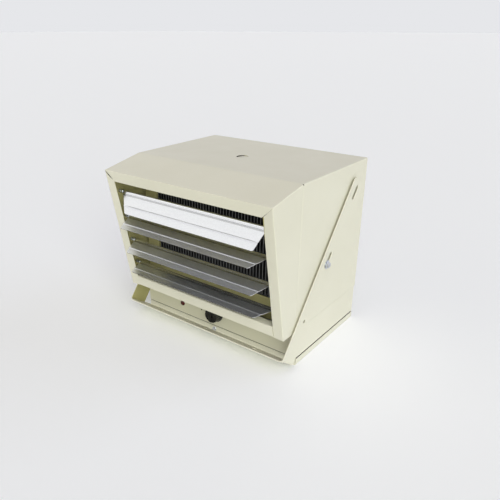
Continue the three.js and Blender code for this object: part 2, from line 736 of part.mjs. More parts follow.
// Wire guard: rings on radial wires, with a screw eye at each of four feet.
function makeGuard() {
  const outer = fanRing + 3;
  const rings = [];
  for (let i = 0; i < guardRings; i += 1) {
    const radius = guardFirst + ((outer - guardFirst) * i) / (guardRings - 1);
    const ring = new THREE.TorusGeometry(radius, guardWire, 4, 8 * Math.ceil(1 + radius / 50));
    rings.push(placed(ring.rotateX(Math.PI / 2), 0, guardBack, fanHeight));
  }
  const spokes = [0, 45, 90, 135].map((angle) => {
    const long = angle % 90 ? footRadius : outer;
    const wire = new THREE.CylinderGeometry(guardWire, guardWire, 2 * long, 4, 1);
    wire.rotateX(Math.PI / 2).rotateY(rad(angle));
    return placed(wire, 0, guardBack - guardWire, fanHeight);
  });
  const eyes = guardFeet().map(([x, z]) => bar('y', guardEye, rearFace + gap, guardBack, x, z, 12));
  const bores = guardFeet().map(([x, z]) => (
    bar('y', screwHole, rearFace - 1, guardBack + guardEye, x, z, 10)));
  return cut(wasm.Manifold.union([...rings, ...spokes, ...eyes]), ...bores);
}
part('fan_guard', makeGuard(), wirePaint);
guardFeet().forEach(([x, z], i) => {
  const fixing = screw('y', 1, guardBack + gap, x, z,
    { head: 4, tall: 2.6, shank: 1.8, long: 13, hex: false });
  part(`guard_screw_${i + 1}`, fixing, zincSteel);
});

// Strap across the duct that carries the motor.
const motorStrap = 2;
const motorBoltPlaces = [fanHeight - motorBolts, fanHeight + motorBolts];
function makeMotorBracket() {
  const y = motorBack + gap + motorStrap;
  const foot = y - 16;
  const bottom = partitionTop + gap;
  const path = rounded([[foot, bottom], [y, bottom], [y, ductTop], [foot, ductTop]], 2 * bend);
  const holes = motorBoltPlaces.map((z) => bar('y', screwHole, y - 5, y + 5, 0, z, 10));
  const seat = bar('y', 14, 0, depth, 0, fanHeight, 24);
  return cut(alongX(ribbon(path, motorStrap), -28, 28), seat, ...holes);
}
part('motor_bracket', makeMotorBracket(), galvanised);

function makeMotor() {
  const r = motorRadius;
  const long = motorLength;
  const shell = turned([
    [0, 0], [12, 0], [12, 4], [r - 8, 5], [r, 13], [r, long - 12], [r - 7, long - 4], [24, long], [0, long],
  ], 28, 0, motorFront, fanHeight);
  const bore = bar('y', shaftRadius + 0.6, motorFront + 10, depth, 0, fanHeight, 16);
  const bosses = motorBoltPlaces.map((z) => bar('y', 5, motorBack - 14, motorBack, 0, z, 12));
  const holes = motorBoltPlaces.map((z) => bar('y', screwHole, motorBack - 9, motorBack + 1, 0, z, 10));
  const vents = [];
  const ventCount = 8;
  const ventCircle = r * 0.57;
  for (let i = 0; i < ventCount; i += 1) {
    const angle = ((i + 0.5) * 2 * Math.PI) / ventCount;
    const [x, z] = [ventCircle * Math.cos(angle), fanHeight + ventCircle * Math.sin(angle)];
    vents.push(bar('y', 3, motorFront, motorFront + 7, x, z, 8));
  }
  return cut(fuse(cut(shell, bore), ...bosses), ...holes, ...vents);
}
part('fan_motor', makeMotor(), blackSteel);
motorBoltPlaces.forEach((z, i) => {
  const bolt = screw('y', 1, motorBack + motorStrap + 2 * gap, 0, z,
    { head: 4, tall: 3, shank: 1.9, long: 9 });
  part(`motor_bolt_${i + 1}`, bolt, zincSteel);
});
part('motor_shaft', bar('y', shaftRadius, motorFront + 11, fanPlane + 14, 0, fanHeight, 16), zincSteel);

// Pressed fan: swept, pitched blades on a centre disc.
function makeFan() {
  const rootRadius = 20;
  const across = 5;
  const out = 4;
  const thick = 1.2;
  const disc = 30;
  const solids = [turned([[0, -0.8], [disc, -0.8], [disc, 0.8], [0, 0.8]], 30, 0, 0, 0)];
  for (let b = 0; b < fanBlades; b += 1) {
    const turn = (b * 2 * Math.PI) / fanBlades;
    const positions = [];
    for (const level of [-0.5, 0.5]) {
      for (let j = 0; j <= out; j += 1) {
        const reach = j / out;
        const radius = rootRadius + (fanRadius - rootRadius) * reach;
        const spread = rad(15 + 15 * Math.sin(reach * Math.PI * 0.75));
        const pitch = Math.tan(rad(fanPitch)) * (1 - 0.35 * reach);
        for (let i = 0; i <= across; i += 1) {
          const share = (2 * i) / across - 1;
          const angle = turn + share * spread + rad(10 * reach);
          const rise = radius * share * spread * pitch * 0.8 + 3 * (1 - share * share) + level * thick;
          positions.push(radius * Math.cos(angle), rise, radius * Math.sin(angle));
        }
      }
    }
    solids.push(toSolid(closedSheet(positions, across + 1, out + 1)));
  }
  return cut(wasm.Manifold.union(solids), bar('y', fanBore, -fanRadius, fanRadius, 0, 0, 20));
}

// Closes a two-level grid of points into one thin body.
function closedSheet(positions, columns, rows) {
  const level = columns * rows;
  const index = [];
  const quad = (a, b, c, d) => index.push(a, b, c, a, c, d);
  for (let j = 0; j < rows - 1; j += 1) {
    for (let i = 0; i < columns - 1; i += 1) {
      const a = j * columns + i;
      quad(a, a + columns, a + columns + 1, a + 1);
      quad(level + a, level + a + 1, level + a + columns + 1, level + a + columns);
    }
  }
  const rim = [];
  for (let i = 0; i < columns - 1; i += 1) rim.push(i);
  for (let j = 0; j < rows - 1; j += 1) rim.push(j * columns + columns - 1);
  for (let i = columns - 1; i > 0; i -= 1) rim.push((rows - 1) * columns + i);
  for (let j = rows - 1; j > 0; j -= 1) rim.push(j * columns);
  rim.forEach((a, k) => {
    const b = rim[(k + 1) % rim.length];
    quad(a, b, level + b, level + a);
  });
  const geometry = new THREE.BufferGeometry();
  geometry.setAttribute('position', new THREE.Float32BufferAttribute(positions, 3));
  geometry.setIndex(index);
  const solid = toSolid(geometry.clone());
  if (solid.volume() < 0) {
    for (let i = 0; i < index.length; i += 3) [index[i], index[i + 1]] = [index[i + 1], index[i]];
    geometry.setIndex(index);
  }
  return geometry;
}
part('fan_blade', makeFan().translate([0, fanPlane, fanHeight]), aluminium);

function makeFanHub() {
  const seat = fanBore - 0.5;
  const neck = seat - 0.9;
  const hub = turned([
    [0, -12], [neck, -12], [neck, -2], [seat, -2], [seat, 4], [neck, 4], [neck, 12], [0, 12],
  ], 20, 0, fanPlane, fanHeight);
  return cut(hub, bar('y', shaftRadius + 0.4, fanPlane - 20, fanPlane + 20, 0, fanHeight, 16));
}
part('fan_hub', makeFanHub(), zincSteel);

// ---------------------------------------------------------------- knockout in the top
const slug = bar('z', knockoutRadius - gap, height - sheet, height, ...knockoutPlace, 24);
part('top_knockout', slug, almondPaint);

// ---------------------------------------------------------------- swing bracket
// Frame of the bracket: origin on the screws, z along the arms towards their free ends, y across the strap.
const swing = new THREE.Group();
swing.position.set(0, pivotBack, pivotHeight);
swing.rotation.x = armAngle - Math.PI / 2;
heater.add(swing);

function makeBracket() {
  const half = strapWidth / 2;
  const path = rounded([
    [-armOutside, strapEnd], [-armOutside, -strapFoot], [armOutside, -strapFoot], [armOutside, strapEnd],
  ], strapBend, 4);
  const strap = alongY(ribbon(path, strapSheet), -half, half);
  const round = [half - strapCorner, strapEnd - strapCorner];
  const ends = [-1, 1].map((way) => {
    const corner = new THREE.Shape();
    corner.moveTo(way * (half + 1), strapEnd + 1);
    corner.lineTo(way * (half + 1), round[1]);
    corner.lineTo(way * half, round[1]);
    corner.absarc(way * round[0], round[1], strapCorner, way > 0 ? 0 : Math.PI, Math.PI / 2, way < 0);
    corner.lineTo(way * round[0], strapEnd + 1);
    return alongX(corner, -width, width);
  });
  const slots = [0, upperSlot].map((from) => (
    alongX(slotOutline(slotWidth / 2, from, from + slotTravel), -width, width)));
  const lowHole = bar('x', 3.3, -width, width, 0, -strapLowHole, 12);
  const fixings = [-strapFixing, 0, strapFixing].map((x) => (
    bar('z', 4.5, -strapFoot - 5, -strapFoot + 8, x, 0, 16)));
  return cut(strap, ...ends, ...slots, lowHole, ...fixings);
}
part('mounting_bracket', makeBracket(), almondPaint, swing);

// A flat ring on the pivot, from `from` to `to` outwards on one side.
function pivotRing(way, radius, from, to, bore, sides = 16) {
  const [low, high] = way > 0 ? [from, to] : [-to, -from];
  const disc = bar('x', radius, low, high, pivotBack, pivotHeight, sides);
  return cut(disc, bar('x', bore, -width, width, pivotBack, pivotHeight, 12));
}

// Bracket screws with a washer outside the arm, a spacer inside it and a clinch nut in the hood.
const washerSheet = 1.2;
const nutTall = 5;
for (const [name, way] of [['left', -1], ['right', 1]]) {
  const bore = screwRadius + gap;
  const seat = armOutside + gap;
  const head = seat + washerSheet + gap;
  const fixing = screw('x', way, way * head, pivotBack, pivotHeight,
    { head: 5.5, tall: 4, shank: screwRadius, long: head - inner + nutTall + bend });
  part(`bracket_washer_${name}`, pivotRing(way, 8, seat, seat + washerSheet, bore), zincSteel);
  part(`bracket_spacer_${name}`, pivotRing(way, 9, side + gap, armInside - gap, bore), zincSteel);
  part(`bracket_nut_${name}`, pivotRing(way, 6, inner - gap - nutTall, inner - gap, bore, 6), zincSteel);
  part(`bracket_screw_${name}`, fixing, zincSteel);
}

// ---------------------------------------------------------------- origin at the middle of the base
heater.updateMatrixWorld(true);
const bounds = new THREE.Box3().setFromObject(heater);
heater.position.y = -(bounds.min.y + bounds.max.y) / 2;

// Axes of the moving pieces as (y, z), in the frame of the finished part; the fan and the knob turn about +Y.
const shifted = ([y, z]) => [y + heater.position.y, z];
heater.userData.pivots = {
  louvers: louverAngles.map((_, i) => shifted(facePoint(louverFirst + i * louverPitch, louverSet))),
  louverAngles,
  bracket: shifted([pivotBack, pivotHeight]),
  fan: [0, fanHeight],
  knob: knobPlace,
  crossbar: shifted(crossbar),
  armAngle,
};

export default heater;
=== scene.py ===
"""Ceiling mounted fan heater: finishes, folded sheet-metal pieces, studio and camera.

Metres, +X right, +Y to the rear, +Z up. The louvred outlet faces -Y. Heights count from the
underside of the bottom cover, and BREAK is where the top starts to slope down to the outlet.
"""
import json
import math

import bpy
import bmesh
from mathutils import Matrix, Vector


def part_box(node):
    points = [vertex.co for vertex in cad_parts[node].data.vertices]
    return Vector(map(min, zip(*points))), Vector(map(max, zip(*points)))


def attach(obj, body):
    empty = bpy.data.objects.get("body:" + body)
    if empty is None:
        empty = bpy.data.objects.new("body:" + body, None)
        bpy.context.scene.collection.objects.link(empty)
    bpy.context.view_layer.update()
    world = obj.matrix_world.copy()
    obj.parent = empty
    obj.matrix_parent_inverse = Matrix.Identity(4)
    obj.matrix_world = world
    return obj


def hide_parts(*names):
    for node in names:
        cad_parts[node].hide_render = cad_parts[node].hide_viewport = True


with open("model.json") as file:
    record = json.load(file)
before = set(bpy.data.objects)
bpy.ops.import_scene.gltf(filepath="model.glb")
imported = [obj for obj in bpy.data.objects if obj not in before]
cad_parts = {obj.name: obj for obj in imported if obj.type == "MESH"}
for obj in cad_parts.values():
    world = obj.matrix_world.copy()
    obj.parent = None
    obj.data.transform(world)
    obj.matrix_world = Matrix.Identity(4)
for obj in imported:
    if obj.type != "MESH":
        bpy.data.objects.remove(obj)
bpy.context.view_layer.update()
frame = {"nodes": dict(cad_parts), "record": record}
nodes = frame["nodes"]
record = frame["record"]
behaviour = record["behaviour"]
body_of = {node: body for body, held in behaviour["bodies"].items() for node in held}
slot_of = {entry["node"]: entry["material_slot"] for entry in record["subparts"]}
pivot_of = {joint["child"]: Vector(joint["pos_m"]) for joint in behaviour["joints"]}

MM = 0.001
WIDTH, HEIGHT, DEPTH = 362 * MM, 331 * MM, 227 * MM      # housing; depth from BREAK to the rear
SIDE = WIDTH / 2
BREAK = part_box("hood")[1].y - DEPTH
SLOPE_RUN, SLOPE_DROP = 84 * MM, 16.6 * MM
FOLD = 2 * MM                                            # outside radius of the housing folds
BROKEN = 0.24 * MM                                       # rounding of cut sheet edges

SAME, HAIR, NEAR = 0.001 * MM, 0.01 * MM, 0.1 * MM       # slacks for picking points by place

RIGHT, REARWARD, UPWARD = Vector((1, 0, 0)), Vector((0, 1, 0)), Vector((0, 0, 1))
AXES = {"x": RIGHT, "y": REARWARD, "z": UPWARD}


# ------------------------------------------------------------------ camera
PHOTO_SIZE = 500                                         # pixels, across and down
FOCAL_LENGTH = 531.9                                     # in the same pixels
SIGHT_POINT = 228.3, 255.5                               # where the line of sight meets them
CAMERA_TURN, CAMERA_TILT = 37.98, 23.27                  # degrees to the right, and down
CAMERA_PLACE = 571.9 * MM, BREAK - 686.8 * MM, 549.9 * MM


def aim_camera():
    """Stands the camera where the photograph was taken from."""
    azimuth, tilt = math.radians(CAMERA_TURN), math.radians(CAMERA_TILT)
    forward = Vector((
        -math.sin(azimuth) * math.cos(tilt),
        math.cos(azimuth) * math.cos(tilt),
        -math.sin(tilt),
    ))
    lens = bpy.data.cameras.new("studio_camera")
    lens.sensor_width = 36
    lens.lens = FOCAL_LENGTH / PHOTO_SIZE * lens.sensor_width
    lens.shift_x = (PHOTO_SIZE / 2 - SIGHT_POINT[0]) / PHOTO_SIZE
    lens.shift_y = (SIGHT_POINT[1] - PHOTO_SIZE / 2) / PHOTO_SIZE
    lens.clip_start, lens.clip_end = 0.05, 200
    camera = bpy.data.objects.new("studio_camera", lens)
    camera.location = CAMERA_PLACE
    camera.rotation_euler = forward.to_track_quat("-Z", "Y").to_euler()
    bpy.context.scene.collection.objects.link(camera)
    bpy.context.scene.camera = camera


aim_camera()


# ------------------------------------------------------------------ material nodes
def new_finish(name):
    """A material with its tree, its shader and the place on the object."""
    material = bpy.data.materials.new(name)
    material.use_nodes = True
    tree = material.node_tree
    shader = tree.nodes["Principled BSDF"]
    place = tree.nodes.new("ShaderNodeTexCoord").outputs["Object"]
    return material, tree, shader, place


def stretched(tree, place, scale):
    mapping = tree.nodes.new("ShaderNodeMapping")
    mapping.inputs["Scale"].default_value = scale
    tree.links.new(place, mapping.inputs["Vector"])
    return mapping.outputs["Vector"]


def noise(tree, place, scale, detail=2, roughness=0.5):
    node = tree.nodes.new("ShaderNodeTexNoise")
    node.inputs["Scale"].default_value = scale
    node.inputs["Detail"].default_value = detail
    node.inputs["Roughness"].default_value = roughness
    tree.links.new(place, node.inputs["Vector"])
    return node.outputs["Fac"]


def blend(tree, value, low, darker, high, colour):
    """Goes from the darker colour, where the value is low, to the colour, where it is high."""
    node = tree.nodes.new("ShaderNodeValToRGB")
    for element, position, tone in zip(node.color_ramp.elements, (low, high), (darker, colour)):
        element.position = position
        element.color = (*tone, 1)
    tree.links.new(value, node.inputs["Fac"])
    return node.outputs["Color"]


def spread(tree, value, low, high, start=0.3, end=0.7):
    """Stretches the values from start to end over the range from low to high."""
    node = tree.nodes.new("ShaderNodeMapRange")
    node.inputs["From Min"].default_value = start
    node.inputs["From Max"].default_value = end
    node.inputs["To Min"].default_value = low
    node.inputs["To Max"].default_value = high
    tree.links.new(value, node.inputs["Value"])
    return node.outputs["Result"]


def bump(tree, shader, heights):
    """Stacks (height, strength, distance) bumps."""
    normal = None
    for height, strength, distance in heights:
        node = tree.nodes.new("ShaderNodeBump")
        node.inputs["Strength"].default_value = strength
        node.inputs["Distance"].default_value = distance
        tree.links.new(height, node.inputs["Height"])
        if normal:
            tree.links.new(normal, node.inputs["Normal"])
        normal = node.outputs["Normal"]
    tree.links.new(normal, shader.inputs["Normal"])


def linear(red, green, blue):
    """A colour written as screen values from 0 to 255."""
    def one(value):
        value /= 255
        return value / 12.92 if value <= 0.04045 else ((value + 0.055) / 1.055) ** 2.4
    return one(red), one(green), one(blue)


# ------------------------------------------------------------------ finishes
def powder_coat(name, colour, darker, rough):
    """Semi-gloss powder coat: soft mottle, a faint orange peel and slow sags."""
    material, tree, shader, place = new_finish(name)
    shader.inputs["Specular IOR Level"].default_value = 0.4
    mottle = noise(tree, place, scale=9, detail=3)
    tint = blend(tree, mottle, 0.3, darker, 0.7, colour)
    tree.links.new(tint, shader.inputs["Base Color"])
    dull = spread(tree, noise(tree, place, scale=30, detail=3), rough, rough + 0.08)
    tree.links.new(dull, shader.inputs["Roughness"])
    peel = noise(tree, place, scale=700, detail=1)
    sag = noise(tree, place, scale=14, detail=1)
    bump(tree, shader, [(peel, 0.05, 0.0002), (sag, 0.12, 0.0012)])
    return material


def rolled_sheet(name, colour, darker, rough):
    """Bare rolled aluminium: a fine sandy grain, drawn out a little along X, and shallow waves."""
    material, tree, shader, place = new_finish(name)
    shader.inputs["Metallic"].default_value = 0.94
    grain_place = stretched(tree, place, (350, 650, 650))
    grain = noise(tree, grain_place, scale=1, detail=3, roughness=0.6)
    tint = blend(tree, grain, 0.35, darker, 0.65, colour)
    tree.links.new(tint, shader.inputs["Base Color"])
    dull = spread(tree, noise(tree, place, scale=16), rough, rough + 0.05)
    tree.links.new(dull, shader.inputs["Roughness"])
    waves = noise(tree, stretched(tree, place, (6, 40, 40)), scale=1, detail=1)
    bump(tree, shader, [(grain, 0.025, 0.0002), (waves, 0.03, 0.001)])
    return material


def plated(name, colour, darker, rough):
    """Zinc plate: bright, with cloudy passivation."""
    material, tree, shader, place = new_finish(name)
    shader.inputs["Metallic"].default_value = 1
    cloud = noise(tree, place, scale=350, detail=3)
    tint = blend(tree, cloud, 0.35, darker, 0.65, colour)
    tree.links.new(tint, shader.inputs["Base Color"])
    tree.links.new(spread(tree, cloud, rough, rough + 0.12), shader.inputs["Roughness"])
    bump(tree, shader, [(noise(tree, place, scale=2500, detail=1), 0.08, 0.0001)])
    return material


def spangled(name, colour, darker):
    """Hot-dip zinc with its spangle."""
    material, tree, shader, place = new_finish(name)
    shader.inputs["Metallic"].default_value = 1
    spangle = tree.nodes.new("ShaderNodeTexVoronoi")
    spangle.inputs["Scale"].default_value = 130
    tree.links.new(place, spangle.inputs["Vector"])
    cell = tree.nodes.new("ShaderNodeSeparateColor")
    tree.links.new(spangle.outputs["Color"], cell.inputs["Color"])
    tint = blend(tree, cell.outputs["Red"], 0.1, darker, 0.9, colour)
    tree.links.new(tint, shader.inputs["Base Color"])
    dull = spread(tree, cell.outputs["Green"], 0.38, 0.55, start=0, end=1)
    tree.links.new(dull, shader.inputs["Roughness"])
    bump(tree, shader, [(noise(tree, place, scale=900), 0.06, 0.0002)])
    return material


def moulded(name, colour, darker, low, high, tooth=2200):
    """Moulded plastic or matt coating with a fine tooth; low and high are its roughness."""
    material, tree, shader, place = new_finish(name)
    tint = blend(tree, noise(tree, place, scale=60), 0.3, darker, 0.7, colour)
    tree.links.new(tint, shader.inputs["Base Color"])
    dull = spread(tree, noise(tree, place, scale=200), low, high)
    tree.links.new(dull, shader.inputs["Roughness"])
    bump(tree, shader, [(noise(tree, place, scale=tooth, detail=1), 0.08, 0.0002)])
    return material


almond = powder_coat("almond_powder_coat", linear(221, 218, 202), linear(217, 214, 197), 0.38)
# painted shade: a darker, more olive copy of the almond coat for faces that look inwards or lie in
# shade
painted_shade_coat = powder_coat("almond_thin_coat", linear(172, 166, 118), linear(162, 156, 108), 0.5)
aluminium = rolled_sheet("mill_aluminium", (0.845, 0.855, 0.885), (0.785, 0.795, 0.825), 0.33)
# painted reflection: a darker copy of the aluminium for the band before the curl, where a darker
# surround shows
shade_band_aluminium = rolled_sheet("shade_band_aluminium", (0.58, 0.585, 0.6), (0.52, 0.525, 0.54), 0.2)
# painted highlight: a brighter, smoother copy of the aluminium for the curl
highlight_aluminium = rolled_sheet("highlight_aluminium", (0.95, 0.955, 0.97), (0.9, 0.905, 0.92), 0.16)
zinc = plated("zinc_plate", (0.66, 0.68, 0.72), (0.52, 0.54, 0.58), 0.24)
galvanised = spangled("galvanised_sheet", (0.55, 0.56, 0.58), (0.38, 0.39, 0.41))
black_oxide = moulded("black_heat_coat", (0.02, 0.02, 0.021), (0.012, 0.012, 0.013), 0.45, 0.6)
# painted shade: a near-black brown for gaps, notches, joints and edges that lie in shade
painted_dark_shade = moulded("painted_dark_shade", (0.05, 0.045, 0.03), (0.03, 0.027, 0.018), 0.6, 0.75)
# painted highlight: a lighter copy of the black fin finish for the fin front edges
fin_edge_highlight = moulded("fin_edge_highlight", (0.12, 0.12, 0.122), (0.08, 0.08, 0.082), 0.4, 0.5)
black_plastic = moulded("black_moulding", (0.012, 0.012, 0.012), (0.008, 0.008, 0.008), 0.26, 0.36)
grey_plastic = moulded("grey_moulding", (0.11, 0.12, 0.13), (0.09, 0.1, 0.11), 0.4, 0.55)
red_lens = moulded("red_lens", linear(92, 12, 9), linear(64, 8, 6), 0.12, 0.2, tooth=300)
white_print = moulded("white_print", (0.7, 0.7, 0.68), (0.62, 0.62, 0.6), 0.5, 0.6)

finish_of_slot = {
    "almond_paint": almond,
    "aluminium_sheet": aluminium,
    "zinc_plated_steel": zinc,
    "galvanised_steel": galvanised,
    "black_steel": black_oxide,
    "black_plastic": black_plastic,
    "grey_plastic": grey_plastic,
    "red_lens": red_lens,
}


# ------------------------------------------------------------------ making pieces
def add_piece(bm, node, finishes=None, smooth=35):
    """Turns a mesh into the piece that stands for a CAD node, on the node's own body."""
    for face in bm.faces:
        face.smooth = True
    for edge in bm.edges:
        edge.smooth = edge.calc_face_angle(0) < math.radians(smooth)
    name = node + "_made"
    mesh = bpy.data.meshes.new(name)
    bm.to_mesh(mesh)
    bm.free()
    for finish in finishes or [finish_of_slot[slot_of[node]]]:
        mesh.materials.append(finish)
    piece = bpy.data.objects.new(name, mesh)
    bpy.context.scene.collection.objects.link(piece)
    even = piece.modifiers.new("even_normals", "WEIGHTED_NORMAL")
    even.keep_sharp = True
    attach(piece, body_of[node])
    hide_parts(node)


def merged_copy(node):
    """The node's solid with its flat faces whole again."""
    bm = bmesh.new()
    bm.from_mesh(nodes[node].data)
    bmesh.ops.remove_doubles(bm, verts=bm.verts, dist=SAME)
    bmesh.ops.dissolve_limit(bm, angle_limit=math.radians(0.3), verts=bm.verts, edges=bm.edges)
    return bm


def round_over(bm, parts, width, segments, clamp=False, affect="EDGES"):
    """Rounds the given edges, or corners, over a width."""
    bmesh.ops.bevel(bm, geom=parts, offset=width, offset_type="OFFSET", segments=segments,
                    profile=0.5, affect=affect, clamp_overlap=clamp, material=-1)


def break_edges(bm, width, sharper=45):
    """Rounds all edges that are sharper than an angle."""
    limit = math.radians(sharper)
    edges = [edge for edge in bm.edges
             if len(edge.link_faces) == 2 and edge.calc_face_angle(0) > limit]
    round_over(bm, edges, width, 2, clamp=True)


def cut_through(bm, faces, place, way):
    """Splits faces where the plane through a place, square to a way, crosses them."""
    parts = dict.fromkeys(item for face in faces for item in (face, *face.edges, *face.verts))
    bmesh.ops.bisect_plane(bm, geom=list(parts), dist=SAME, plane_co=place, plane_no=way)


def paint_round(verts, place):
    """Gives a material place to the faces that meet at some points."""
    for vert in verts:
        for face in vert.link_faces:
            face.material_index = place


def points_of(parts):
    return [item for item in parts if isinstance(item, bmesh.types.BMVert)]


def turn_profile(bm, profile, centre, axis, steps):
    """Spins a closed or axis-to-axis profile of (along, radius) about an axis."""
    side = UPWARD if abs(axis.z) < 0.9 else RIGHT
    verts = [bm.verts.new(centre + axis * along + side * radius) for along, radius in profile]
    edges = [bm.edges.new(pair) for pair in zip(verts, verts[1:])]
    if profile[0][1] > 0:
        edges.append(bm.edges.new((verts[-1], verts[0])))
    bmesh.ops.spin(bm, geom=verts + edges, cent=centre, axis=axis, angle=2 * math.pi,
                   steps=steps, use_merge=True)
    bmesh.ops.remove_doubles(bm, verts=bm.verts, dist=SAME)
    bmesh.ops.recalc_face_normals(bm, faces=bm.faces)


# ------------------------------------------------------------------ hood
INNER_SHADE, DARK_SHADE = 1, 2                                       # material places after the outer coat: painted shade on inner faces, and darker painted shade
STRIP_OUTER, STRIP_INNER = 179 * MM, 161 * MM            # side strips of the outlet frame
FRAME_INWARD = Vector((0, 0.983, 0.184))                 # square to the leaning outlet frame
FRAME_DOWN = Vector((0, 0.184, -0.983))                  # along it


def open_mitre(bm, gape=1.7 * MM, at_fold=0.7 * MM):
    """The left side strip sags away from its mitre."""
    corners = (                                          # across, lowest, highest, sag
        (-171 * MM, 302 * MM, 304.5 * MM, gape),
        (-STRIP_OUTER, 311 * MM, 311.6 * MM, at_fold),
    )
    for vert in bm.verts:
        for across, lowest, highest, sag in corners:
            if abs(vert.co.x - across) < 0.5 * NEAR and lowest < vert.co.z < highest:
                vert.co += FRAME_DOWN * sag


def dish_strips(bm, recess=1.5 * MM):
    """The side strips of the outlet frame lean inwards, below their mitres."""
    mitre_foot, mitre_rise, behind_frame = 295 * MM, 0.9, BREAK - 30 * MM
    for vert in bm.verts:
        across, up = abs(vert.co.x), vert.co.z
        on_strip = STRIP_INNER - NEAR < across < STRIP_OUTER and vert.co.y < behind_frame
        if on_strip and up < mitre_foot + mitre_rise * (across - STRIP_INNER):
            share = (STRIP_OUTER - across) / (STRIP_OUTER - STRIP_INNER)
            vert.co += FRAME_INWARD * recess * share


def press_side_line(bm, half=0.5 * MM, sink=0.45 * MM):
    """The faint vertical line down each side, under the slope break."""
    for offset in (-half, 0, half):
        flanks = [face for face in bm.faces
                  if abs(face.normal.x) > 0.99 and abs(face.calc_center_median().x) > SIDE - NEAR]
        cut_through(bm, flanks, (0, BREAK + offset, 0), REARWARD)
    for vert in bm.verts:
        if abs(vert.co.y - BREAK) < HAIR and abs(vert.co.x) > SIDE - 0.5 * NEAR:
            vert.co.x -= math.copysign(sink, vert.co.x)


def paint_inside(bm, centre):
    """Paints shade, as the darker almond coat, on faces that look towards the middle of a folded
    shell.
    """
    for face in bm.faces:
        if face.normal.dot((centre - face.calc_center_median()).normalized()) > 0.25:
            face.material_index = INNER_SHADE


def shade_mitre(bm):
    """The inside of the corner behind the open left mitre is painted dark as shade."""
    reach_back, reach_down = BREAK - SLOPE_RUN + 24 * MM, HEIGHT - SLOPE_DROP - 34 * MM
    for place, way in (((0, reach_back, 0), REARWARD), ((0, 0, reach_down), UPWARD)):
        wall = [face for face in bm.faces
                if face.normal.x > 0.99 and face.calc_center_median().x < -SIDE + 2 * MM]
        cut_through(bm, wall, place, way)
    for face in bm.faces:
        middle = face.calc_center_median()
        in_corner = middle.x < -SIDE + 3 * MM and middle.y < reach_back and middle.z > reach_down
        if face.normal.x > 0.5 and in_corner:
            face.material_index = DARK_SHADE


def shade_openings(bm):
    """Paints dark shade in the relief notches, round the knockout, with the shaded coat on its
    right, and on the mitre's cut edge.
    """
    notch, notch_reach = Vector((SIDE, BREAK, HEIGHT - FOLD / 2)), 2.4 * MM
    slug, slug_reach = sum(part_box("top_knockout"), Vector()) / 2, 13 * MM
    mitre = Vector((-SIDE + 20 * MM, BREAK - 78 * MM, 293 * MM))
    for face in bm.faces:
        middle = face.calc_center_median()
        mirrored = Vector((abs(middle.x), middle.y, middle.z))
        if (mirrored - notch).length < notch_reach and abs(middle.x) < SIDE - NEAR:
            face.material_index = DARK_SHADE
        if (middle - slug).length < slug_reach and abs(face.normal.z) < 0.8:
            face.material_index = DARK_SHADE if middle.x < slug.x - 4 * MM else INNER_SHADE
        slanting = face.normal.x * face.normal.z > 0.3
        at_mitre = middle.x < mitre.x and middle.y < mitre.y and middle.z > mitre.z
        if slanting and at_mitre:
            face.material_index = DARK_SHADE


def add_welds(bm, back, up, radius=1.5 * MM, proud=0.2 * MM):
    """A spot weld that shows as a low pip on each side."""
    for way in (-1, 1):
        pip = bmesh.ops.create_uvsphere(bm, u_segments=16, v_segments=8, radius=radius)["verts"]
        bmesh.ops.scale(bm, vec=(proud / radius, 1, 1), verts=pip)
        bmesh.ops.translate(bm, vec=(way * SIDE, BREAK + back, up), verts=pip)


def make_hood():
    """The housing sheet, with its long folds rolled over and its cut edges broken."""
    bm = merged_copy("hood")
    open_mitre(bm)
    dish_strips(bm)
    front_y, front_z = BREAK - SLOPE_RUN, HEIGHT - SLOPE_DROP
    front_fold = []
    for edge in bm.edges:
        middle = (edge.verts[0].co + edge.verts[1].co) / 2
        along = (edge.verts[1].co - edge.verts[0].co).normalized()
        away = math.hypot(middle.y - front_y, middle.z - front_z)
        if abs(along.x) > 0.99 and away < 2 * NEAR:
            front_fold.append(edge)
    round_over(bm, front_fold, 0.5 * FOLD, 3, clamp=True)
    slope_break = [edge for edge in bm.edges
                   if all(abs(vert.co.y - BREAK) < 2 * NEAR for vert in edge.verts)
                   and all(vert.co.z > HEIGHT - 2 * NEAR for vert in edge.verts)]
    round_over(bm, slope_break, 0.25 * FOLD, 2, clamp=True)
    break_edges(bm, 0.22 * MM, sharper=60)
    press_side_line(bm)
    bm.normal_update()
    paint_inside(bm, Vector((0, BREAK + DEPTH / 3, HEIGHT * 0.6)))
    shade_mitre(bm)
    shade_openings(bm)
    add_welds(bm, 79.8 * MM, 302.3 * MM)
    add_piece(bm, "hood", [almond, painted_shade_coat, painted_dark_shade])


# ------------------------------------------------------------------ other sheet and box pieces
SHADOW = 1                                               # material place of painted shade in joints and gaps
COVER_LIP, JOINT = 14 * MM, 15 * MM                      # lip of the cover, foot of the cabinet


def soften(node, width, smooth=35, finishes=None):
    """The node's own shape with its sharp edges rounded."""
    bm = merged_copy(node)
    break_edges(bm, width)
    add_piece(bm, node, finishes, smooth)


